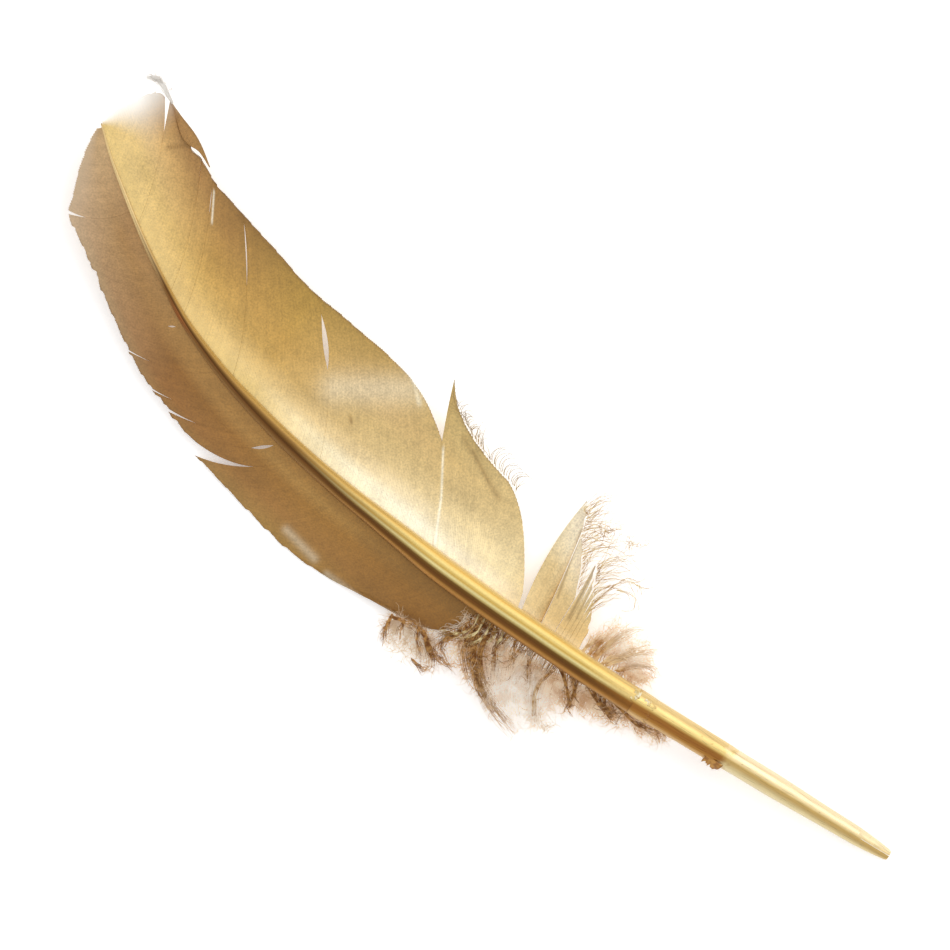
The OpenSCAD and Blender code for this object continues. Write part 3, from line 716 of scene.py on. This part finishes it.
def fibres(name, lines, thick, mat, body, slot, replaced=()):
    """A bunch of fibres, each a line of points in mm that thins towards its end."""
    data = bpy.data.curves.new(name, "CURVE")
    data.dimensions = "3D"
    data.bevel_depth = thick * MM
    data.bevel_resolution = 0
    data.use_fill_caps = True
    for line in lines:
        spline = data.splines.new("POLY")
        spline.points.add(len(line) - 1)
        for i, (point, place) in enumerate(zip(spline.points, line)):
            point.co = (-place[0] * MM, place[1] * MM, max(0.2, place[2]) * MM, 1)
            point.radius = 1 - 0.7 * i / (len(line) - 1)
    return place_piece(name, data, mat, body, slot, replaced)


def hair(rng, start, heading, length, curl, sway=25, rise=0.0, steps=12):
    """A fibre that starts at (station, y, z), heads off in degrees from +X and curls by degrees per mm."""
    step = length / steps
    s, y, z = start
    line = [(s, y, z)]
    drift = rng.uniform(-1, 1)
    for i in range(steps):
        heading += curl * step + sway * rng.uniform(-1, 1) * step ** 0.5 * 0.4
        drift = 0.8 * drift + rng.uniform(-0.4, 0.4)
        s -= step * math.cos(math.radians(heading))
        y += step * math.sin(math.radians(heading))
        z += step * (rise + 0.25 * drift)
        line.append((s, y, z))
    return line


def guided(rng, guide, spread, steps=14, wave=0.4):
    """A fibre along a guide of (station, y, z) points, drifting off it by up to spread, and wavy."""
    table = [(i, *p) for i, p in enumerate(guide)]
    off = [rng.gauss(0, spread) for _ in range(3)]
    phase, turns = rng.uniform(0, 6.3), rng.uniform(0.8, 2.0)
    cut = rng.uniform(0.65, 1.0) * (len(guide) - 1)
    line = []
    for i in range(steps + 1):
        share = i / steps
        grow = 0.25 + share
        ripple = wave * math.sin(phase + 6.3 * turns * share) * share
        line.append(tuple(at(table, c + 1, share * cut) + off[c] * grow * (0.5 if c == 2 else 1)
                          + ripple * (0.7, 1, 0.6)[c] for c in range(3)))
    return line


def barbules(rng, stem, length, gap, start=0.15):
    """Downy side hairs on both sides of a stem."""
    lines = []
    for i in range(int(start * len(stem)), len(stem) - 1):
        a, b = Vector(stem[i]), Vector(stem[i + 1])
        along = b - a
        for k in range(max(1, round(along.length / gap))):
            place = a + along * rng.random()
            for side in (-1, 1):
                turn = math.radians(side * rng.uniform(25, 80))
                size = length * rng.uniform(0.5, 1.2)
                d = along.normalized()
                way = Vector((d.x * math.cos(turn) - d.y * math.sin(turn),
                              d.x * math.sin(turn) + d.y * math.cos(turn), rng.uniform(-0.4, 0.4)))
                bent = way + d * rng.uniform(-0.3, 1.2)
                lines.append([tuple(place), tuple(place + way * size * 0.5),
                              tuple(place + (way + bent) * size * 0.5)])
    return lines


def curls(rng, stem, count, length, start=0.15):
    """Fine downy curls that leave a stem anywhere and wander about it."""
    lines = []
    for _ in range(count):
        place = stem[rng.randint(int(start * len(stem)), len(stem) - 1)]
        place = [c + rng.gauss(0, 0.5) for c in place]
        lines.append(hair(rng, place, rng.uniform(0, 360), length * rng.uniform(0.5, 1.3),
                          rng.uniform(-50, 50), 30, 0.0, 6))
    return lines


# The narrow side's down: station of the root, then station and y where it ends
DOWN_FLOW = [(66, 64.5, -5.4), (69, 67, -6), (72, 70, -8.4), (76, 73, -7.2), (80, 77, -7.6), (85, 81, -9.2),
             (90, 85.5, -11), (95, 90, -13), (99, 94, -17), (103, 95, -22), (108, 98.5, -25),
             (113, 103.5, -24.8), (118, 110, -22.6), (122, 116.5, -20.6), (126, 125, -19.4)]


def down_barb(rng, root_s):
    """Guide of one down barb of the narrow side: out from the shaft, then swept towards the nib."""
    end_s, end_y = at(DOWN_FLOW, 1, root_s), at(DOWN_FLOW, 2, root_s)
    root_y = mid_y(root_s) - half_w(root_s) + 0.4
    short = rng.uniform(0.6, 1.04)
    end_s, end_y = root_s + (end_s - root_s) * short + rng.gauss(0, 0.8), root_y + (end_y - root_y) * short
    bend_s = root_s + 0.1 * (end_s - root_s) + rng.gauss(0, 1.0)
    bend_y = root_y + 0.7 * (end_y - root_y)
    guide = []
    for v in (0, 0.25, 0.5, 0.75, 1):
        s, y = [(1 - v) ** 2 * a + 2 * v * (1 - v) * b + v * v * c
                for a, b, c in ((root_s, bend_s, end_s), (root_y, bend_y, end_y))]
        guide.append((s, y, root_z(root_s) - 4.2 * v ** 0.7 + rng.gauss(0, 0.3)))
    return guide


def narrow_down(name, first, last, every, replaced, seed):
    """Down of one stretch of the shaft: pale fluff on thin stems that the paint has browned."""
    rng = random.Random(seed)
    stems, fluff = [], []
    for k in range(round((last - first) / every)):
        stem = guided(rng, down_barb(rng, first + every * (k + rng.random())), 0.5, wave=0.8)
        if k % 3 == 0:
            stems.append(stem)
        fluff += barbules(rng, stem, 1.9, 0.6) + curls(rng, stem, 12, 4.0)
    fibres(name + "_fluff", fluff, 0.06, down_fluff, ROOT, "down", replaced)
    fibres(name + "_stems", stems, 0.07, down_stem, ROOT, "down")


narrow_down("down_last", 66, 72, 0.8, ["down_last"], 31)
narrow_down("down_small", 72, 81, 0.6, ["down_small"], 32)
narrow_down("down_end", 81, 98.5, 0.34, ["down_end"], 33)
narrow_down("down_middle", 98.5, 113, 0.22, ["down_middle"], 34)
narrow_down("down_fan", 113, 126, 0.26, ["down_fan"], 35)


def bundles(name, guides, mat, thick, seed, replaced=(), fuzz=0, fuzz_length=2.5, lift=0.0, fan=0.0,
            slot="down", wave=0.4, body=ROOT):
    """Strands that lie together along given guides: (number of strands, spread, points).

    lift raises all but the roots, and fan spreads the roots along the shaft.
    """
    rng = random.Random(seed)
    lines = []
    for count, spread, points in guides:
        raised = [(s, y, z + lift) for s, y, z in points[1:]]
        for _ in range(count):
            s, y, z = points[0]
            lines.append(guided(rng, [(s + fan * rng.uniform(-1, 1), y, z)] + raised, spread, wave=wave))
    for stem in list(lines):
        lines += curls(rng, stem, fuzz, fuzz_length, 0)
    fibres(name, lines, thick, mat, body, slot, replaced)


bundles("matted_down_strands", [
    (24, 0.4, [(136, -14.6, 3.4), (131, -17, 3), (127.5, -18.8, 2.8), (121, -19.6, 2.4)]),
    (60, 0.6, [(122, -3.6, 7.2), (120.5, -11, 5.4), (117.5, -16, 4.4), (112, -20.6, 3.4), (105, -23.3, 2.6),
                (98, -25, 2)]),
    (44, 0.8, [(118.4, -3.9, 7.2), (119, -9, 6), (117, -14, 5), (113, -18.4, 4), (106, -22, 3)]),
    (40, 0.9, [(121.5, -3.5, 7.2), (122.5, -8, 6), (122, -12.5, 5), (118.6, -16.6, 4), (113, -20, 3)]),
    (34, 0.6, [(124, -3.4, 7.2), (125, -8, 5.8), (127.5, -12.5, 4.6), (131, -15, 4)]),
    (34, 0.7, [(123, -3.4, 7.2), (125.6, -10, 5.2), (128, -14, 4.4), (127, -17.5, 3.6), (122.5, -19.4, 3)]),
    (24, 0.6, [(116, -4, 7.2), (115.5, -9, 5.8), (113.5, -13, 5), (112, -17, 4)]),
    (16, 0.5, [(111, -4.1, 7.2), (110.6, -8, 6), (109, -12, 5)]),
    (10, 0.3, [(100.5, -4.2, 7), (100.8, -12, 5.6), (98.5, -17, 4.6), (96.3, -20.5, 3.6)]),
    (18, 0.35, [(97.5, -4.4, 7), (94.5, -7.5, 6), (92, -10.4, 5.2), (92.6, -12.4, 4.6)]),
    (24, 0.3, [(94, -4.4, 7), (92.4, -7, 6), (91.4, -10, 5.2), (91.6, -11.8, 4.8)]),
    (20, 0.4, [(89, -4.5, 7), (85.5, -6.4, 6), (81, -6.6, 5.6), (78, -5.2, 5.6)]),
    (14, 0.5, [(107, -4.2, 7), (106, -8, 6), (104, -11, 5.6), (103.6, -14, 5)]),
    (16, 0.35, [(80, -4.5, 6.4), (75, -5.8, 5.2), (71, -5.4, 4.8), (68, -4.8, 4.6), (66.5, -6.8, 4)]),
    (16, 0.5, [(86, -4.5, 6.6), (83, -7, 5.6), (80, -7.6, 5.2), (77, -6.6, 5)]),
], matted, 0.09, 41, fuzz=1, lift=1.2, fan=1.6, wave=0.8)

bundles("clean_down_strands", [
    (16, 1.2, [(115, -3.9, 7.2), (113, -12, 5), (107, -19, 3.6), (100, -23, 2.4)]),
    (20, 1.4, [(108, -4.1, 7.2), (107, -12, 5), (102.4, -18.6, 3.8), (97, -21, 3)]),
    (16, 1.2, [(103, -4.2, 7.2), (102.4, -11, 5.2), (98, -16.4, 4), (92, -17.4, 3.4)]),
    (8, 0.8, [(99.5, -13, 4.8), (96.6, -18.6, 3.6), (92.6, -18.8, 3), (90.6, -16.6, 3)]),
    (14, 1.0, [(125, -3.6, 7.2), (126.4, -9, 5.4), (128.6, -13, 4.4), (124, -17.4, 3.4)]),
], clean_down, 0.08, 45, fuzz=2, lift=1.3, fan=2.4, wave=1.0)

bundles("down_clump_fluff", [
    (18, 0.9, [(141, -15.6, 3), (140.8, -19, 2.6), (139.6, -23.2, 2)]),
    (18, 0.9, [(137.5, -15.2, 3), (137, -18.5, 3), (136, -22.6, 2.2)]),
    (18, 0.9, [(134, -15, 3), (133, -18.5, 3), (132, -22.6, 2.2)]),
    (18, 0.8, [(131.5, -15.8, 3), (130, -19, 2.8), (128, -22.2, 2)]),
], clump_fluff, 0.065, 42, ["down_clump"], 12, 3.2)
bundles("down_clump_strands", [
    (24, 0.45, [(142.9, -15.9, 4), (142.4, -20, 3.6), (141, -24.4, 3)]),
    (10, 0.5, [(139.4, -15.4, 4.2), (139, -18, 4), (138, -21, 3.4)]),
    (16, 0.6, [(135.4, -14.8, 4.4), (134.4, -17.5, 4.4), (131.8, -20, 4), (129.6, -22.8, 3.4)]),
    (28, 0.6, [(134, -15, 4.4), (130, -18.4, 4), (127.6, -19.6, 3.6), (126.4, -21.8, 3)]),
    (16, 0.6, [(132.5, -22.8, 3), (129, -23.4, 3), (126.2, -21.4, 3)]),
    (16, 0.45, [(143, -16.4, 4.4), (139.5, -15.6, 4.4), (136, -15, 4.4), (133, -15.2, 4.4)]),
], matted, 0.085, 43, lift=1.0, wave=0.9)

bundles("loose_barb_strands", [
    (9, 0.12, [(124, -3.4, 7.4), (123.6, -7.5, 6.4), (125.8, -10.4, 5.6), (130, -12.9, 4.8),
               (134, -14.6, 4.2)]),
    (8, 0.12, [(122.2, -3.4, 7.4), (121.9, -7.5, 6.4), (123.6, -10.6, 5.6), (126.5, -12.6, 4.6)]),
    (8, 0.12, [(120.2, -3.5, 7.4), (119.8, -7.5, 6.4), (121, -10.4, 5.6), (123.4, -12.8, 4.6)]),
    (7, 0.12, [(118.2, -3.7, 7.2), (117.6, -7, 6.4), (118.8, -9.6, 5.6)]),
    (6, 0.12, [(116.4, -3.8, 7.2), (115.8, -6, 6.4), (116.4, -8, 5.8)]),
], loose_hair, 0.14, 44, ["loose_barbs"], lift=1.8, fan=0.2, slot="narrow_vane")


def wide_tuft():
    """Down and short barbs on the wide side, between the ragged strip and the barrel."""
    rng = random.Random(51)
    flow = [(79, 76.5, 5.5), (82, 76, 8.5), (85, 78, 13.5), (88, 80, 17.6), (92, 86, 19.4), (96.5, 93, 12)]
    stems, fluff = [], []
    for k in range(64):
        root_s = 79.5 + 16.5 * (k + rng.random()) / 64
        short = rng.uniform(0.45, 1.0)
        end_s, end_y = at(flow, 1, root_s), at(flow, 2, root_s)
        root_y = mid_y(root_s) + half_w(root_s) - 0.4
        end_s, end_y = root_s + (end_s - root_s) * short, root_y + (end_y - root_y) * short
        guide = [(root_s, root_y, root_z(root_s)), (root_s + 0.3, root_y + 0.35 * (end_y - root_y), 6.6),
                 (0.5 * (root_s + end_s), root_y + 0.7 * (end_y - root_y), 6), (end_s, end_y, 5)]
        stem = guided(rng, guide, 0.7, wave=0.8)
        if k % 3:
            stems.append(stem)
        fluff += barbules(rng, stem, 1.4, 0.7, 0.25) + curls(rng, stem, 11, 3.2, 0.3)
    fibres("wide_tuft_fluff", fluff, 0.06, tuft_fluff, ROOT, "down", ["down_wide"])
    fibres("wide_tuft_stems", stems, 0.08, tuft_stem, ROOT, "down")


wide_tuft()
bundles("wide_tuft_strands", [
    (16, 0.25, [(96, 2.7, 8), (95.4, 5.4, 7.4), (93.8, 9, 7.2)]),
    (18, 0.25, [(94.2, 2.7, 8), (93.6, 5.6, 7.4), (92, 10, 7.2)]),
    (16, 0.25, [(92, 2.7, 8), (91.6, 5.6, 7.4), (90.6, 9.4, 7), (90, 11, 6.6)]),
    (14, 0.35, [(90, 2.7, 8), (89.4, 5, 7.4), (87, 6.6, 7), (83, 6.8, 6.6)]),
    (16, 0.7, [(93, 3, 8), (91, 9, 6.8), (88, 14.5, 6.4), (84, 18, 6)]),
    (16, 0.7, [(89, 3, 8), (86, 8, 6.8), (82, 12.6, 6.2), (79.4, 15.4, 5.6)]),
    (14, 0.6, [(86, 3, 8), (82.6, 6.8, 6.8), (79, 8.4, 6.2), (76.4, 7.4, 5.6)]),
], tuft_stem, 0.1, 52, lift=0.6, fan=0.4)
bundles("ragged_strip_loop_hairs", [
    (5, 0.5, [(100.4, 14, 6.4), (98.4, 21, 6.4), (96, 25, 6.4), (92.4, 24.6, 6), (90.6, 20.4, 5.4),
              (88, 18, 5.4)]),
    (4, 0.7, [(97, 21, 6.4), (93, 22, 6.4), (90.6, 19, 6), (93, 17, 5.6), (96, 18.6, 5.4)]),
], lobe_hair, 0.055, 53, slot="wide_vane", body="ragged_strip")


def fringe(name, rng_seed, groups, body, mat, thick):
    """Loose barb ends along a lobe's rim.

    groups: count, start of the rim stretch and its end as (station, y, z), the heading's two
    limits, the length's limits, the curl's limits in degrees per mm, and the sway.
    """
    rng = random.Random(rng_seed)
    lines = []
    for count, a, b, headings, lengths, curls_per_mm, sway in groups:
        for k in range(count):
            t = (k + rng.random()) / count
            start = [a[i] + (b[i] - a[i]) * t + rng.uniform(-0.2, 0.2) for i in range(3)]
            lines.append(hair(rng, start, rng.uniform(*headings), rng.uniform(*lengths),
                              rng.uniform(*curls_per_mm), sway, 0.05, 16))
    fibres(name, lines, thick, mat, body, "wide_vane")


fringe("pointed_lobe_fringe", 61, [
    (22, (160.5, 41, 9), (150.5, 35, 8), (95, 150), (1.2, 3.4), (-60, 30), 40),
    (14, (158.4, 39, 9), (151, 35.4, 8), (100, 160), (2, 4.4), (-70, 40), 40),
    (16, (151, 35, 8), (145.5, 33, 7.5), (115, 150), (3, 6), (-40, 10), 25),
    (12, (143.5, 32, 7.5), (133.4, 29.4, 7), (126, 146), (6, 8), (-24, -15), 9),
    (8, (146, 32.8, 7.5), (134, 29.6, 7), (110, 150), (3, 6), (-34, 10), 20),
    (4, (134.5, 29.5, 7), (132.4, 28.2, 7), (70, 125), (3, 5), (-14, 6), 10),
], "pointed_lobe", comb_hair, 0.07)
fringe("ragged_lobe_a_fringe", 62, [
    (14, (115.9, 34, 8), (113.8, 33, 8), (74, 98), (6, 11), (-7, -3), 6),
    (8, (114.4, 33, 8.2), (113.2, 32, 8.2), (55, 85), (4, 8), (-8, 2), 8),
    (26, (113.8, 32.6, 8), (112.4, 27, 8), (30, 70), (5, 13), (-9, 9), 14),
], "ragged_lobe_a", lobe_hair, 0.06)
fringe("ragged_lobe_b_fringe", 63, [
    (34, (112, 27.5, 7.5), (108, 21.5, 7.5), (45, 85), (7, 17), (-8, 7), 16),
    (18, (108, 21.5, 7.5), (105.4, 15, 7.5), (60, 95), (3, 9), (-8, 6), 14),
    (26, (109.5, 30, 7.5), (106, 34.5, 7.5), (0, 360), (2, 4), (-90, 90), 50),
], "ragged_lobe_b", lobe_hair, 0.055)
fringe("ragged_strip_fringe", 64, [
    (30, (105, 24, 7.5), (102.8, 19.5, 7.5), (45, 90), (6, 15), (-9, 3), 16),
    (34, (102.8, 19, 7.5), (99.6, 12, 7.5), (50, 95), (5, 12), (-9, 0), 14),
    (18, (101.5, 33, 7), (98, 34, 7), (0, 360), (3, 6), (-60, 60), 40),
    (8, (97, 24, 6.5), (93, 25, 6.5), (-60, 40), (5, 9), (-16, 16), 20),
], "ragged_strip", lobe_hair, 0.055)


def end_fluff():
    """Unpainted barb ends at the very end of the feather, curled over like a hook."""
    rng = random.Random(71)
    guide = [(262, 65.8, 13), (264.8, 67.4, 13.6), (267.8, 68.8, 14), (270.2, 68.6, 14), (270.9, 67.4, 13.6)]
    lines = [guided(rng, guide, 0.45, wave=0.3) for _ in range(70)]
    lines += [hair(rng, (267 + rng.uniform(-3, 3), 68, 13.6), rng.uniform(50, 130), rng.uniform(1, 3),
                   rng.uniform(-40, 40)) for _ in range(26)]
    fibres("end_fluff", lines, 0.08, white_fluff, ROOT, "wide_vane")


end_fluff()


# ---------------------------------------------------------------- skin sheath: torn collar and flake

BARREL_SLOPE = 0.0955    # how much the barrel's middle line rises for each mm back from the nib


def torn_collar():
    """What is left of the skin sheath round the top of the barrel: thin, with torn edges."""
    rng = random.Random(81)
    bm = bmesh.new()
    around, top = 72, SHAFT[0][0]
    bmesh.ops.create_grid(bm, x_segments=around, y_segments=6, size=1)
    tears = [[rng.uniform(-0.9, 0.9) for _ in range(around)] for _ in range(2)]
    curl = [0.1 * rng.uniform(0.5, 2) for _ in range(around)]
    for vert in bm.verts:
        k = round((vert.co.x + 1) / 2 * around) % around
        angle = 2 * math.pi * k / around
        share = (vert.co.y + 1) / 2
        s = 72.6 + 5.6 * share + (tears[0][k] * (1 - share) + tears[1][k] * share) * 0.8
        gap = 0.1 + (curl[k] - 0.28) * abs(2 * share - 1) ** 3
        size = half_w(s) + gap
        z = at(SHAFT, 2, top) - (top - s) * BARREL_SLOPE
        vert.co = (-s, mid_y(top) + size * math.cos(angle), z + size * math.sin(angle))
    bmesh.ops.remove_doubles(bm, verts=bm.verts, dist=1e-3)
    bmesh.ops.recalc_face_normals(bm, faces=bm.faces)
    give_thickness(mesh_piece(bm, "torn_skin_collar", barrel_gold, ROOT, "sheath", ["sheath_collar"]), 0.08)


torn_collar()


def curled_scale(name, start, spans, normal_z, mat, seed, replaced=()):
    """A flake of skin or paint: a small torn sheet that curls away from where it holds on."""
    rng = random.Random(seed)
    bm = bmesh.new()
    bmesh.ops.create_grid(bm, x_segments=14, y_segments=10, size=1)
    tears = [rng.uniform(0.55, 1.0) for _ in range(15)]
    for vert in bm.verts:
        u, v = (vert.co.x + 1) / 2, (vert.co.y + 1) / 2
        out = v * tears[round(u * 14)]
        curl = normal_z * out * out * spans[1] * 0.6
        vert.co = (-(start[0] + spans[0] * (u + 0.15 * out)), start[1] + spans[1] * out,
                   start[2] + curl + 0.25 * math.sin(5 * u + 3 * v))
    bmesh.ops.recalc_face_normals(bm, faces=bm.faces)
    give_thickness(mesh_piece(bm, name, mat, ROOT, "sheath", replaced), 0.12)


curled_scale("curled_skin_flake", (49.4, -2.8, 8.3), (5, -2.4), 1.1, sheath_scale, 82, ["sheath_flake"])
curled_scale("paint_flake_1", (77.2, 0.4, 11.7), (1.9, 1.9), 0.4, bright_scale, 83)
curled_scale("paint_flake_2", (73.8, 0, 11.4), (1.8, 1.4), 0.4, bright_scale, 84)
curled_scale("paint_flake_3", (77.6, 0.3, 11.7), (1.6, -1.3), -0.4, bright_scale, 85)


# ---------------------------------------------------------------- stage, light and camera

VIEW_CENTRE = Vector((-144.2 * MM, 26.4 * MM, 6 * MM))
PICTURE_WIDTH = 247 * MM
FEATHER_TURN_IN_VIEW = math.radians(32.4)


def make_floor():
    """A lit white sheet, so that only the deepest shadows show."""
    mesh = bpy.data.meshes.new("floor")
    bm = bmesh.new()
    bmesh.ops.create_grid(bm, x_segments=1, y_segments=1, size=3)
    bm.to_mesh(mesh)
    bm.free()
    mat, _, _ = new_material("white_acrylic_sheet", Roughness=0.9, Base_Color=colour("#fcfcfc"),
                             Emission_Color=colour("#ffffff"), Emission_Strength=0.3)
    mesh.materials.append(mat)
    floor = bpy.data.objects.new("floor", mesh)
    bpy.context.scene.collection.objects.link(floor)


def make_camera():
    """Looks straight down through a long lens."""
    lens, sensor = 250, 36
    data = bpy.data.cameras.new("camera")
    data.lens = lens
    data.sensor_width = sensor
    data.clip_end = 20
    camera = bpy.data.objects.new("camera", data)
    bpy.context.scene.collection.objects.link(camera)
    distance = PICTURE_WIDTH * lens / sensor
    camera.matrix_world = (Matrix.Translation(VIEW_CENTRE + Vector((0, 0, distance)))
                           @ Matrix.Rotation(FEATHER_TURN_IN_VIEW, 4, "Z"))
    bpy.context.scene.camera = camera


def make_light():
    data = bpy.data.lights.new("key", "AREA")
    data.size = 0.6
    data.energy = 2.7
    key = bpy.data.objects.new("key", data)
    key.location = (-0.05, 0.7, 0.6)
    key.rotation_euler = (Vector(key.location) - VIEW_CENTRE).to_track_quat("Z", "Y").to_euler()
    bpy.context.scene.collection.objects.link(key)
    world = bpy.data.worlds.new("studio")
    world.use_nodes = True
    world.node_tree.nodes["Background"].inputs[0].default_value = colour("#ffffff")
    world.node_tree.nodes["Background"].inputs[1].default_value = 0.85
    bpy.context.scene.world = world


make_floor()
make_camera()
make_light()
bpy.context.scene.view_settings.view_transform = "Standard"
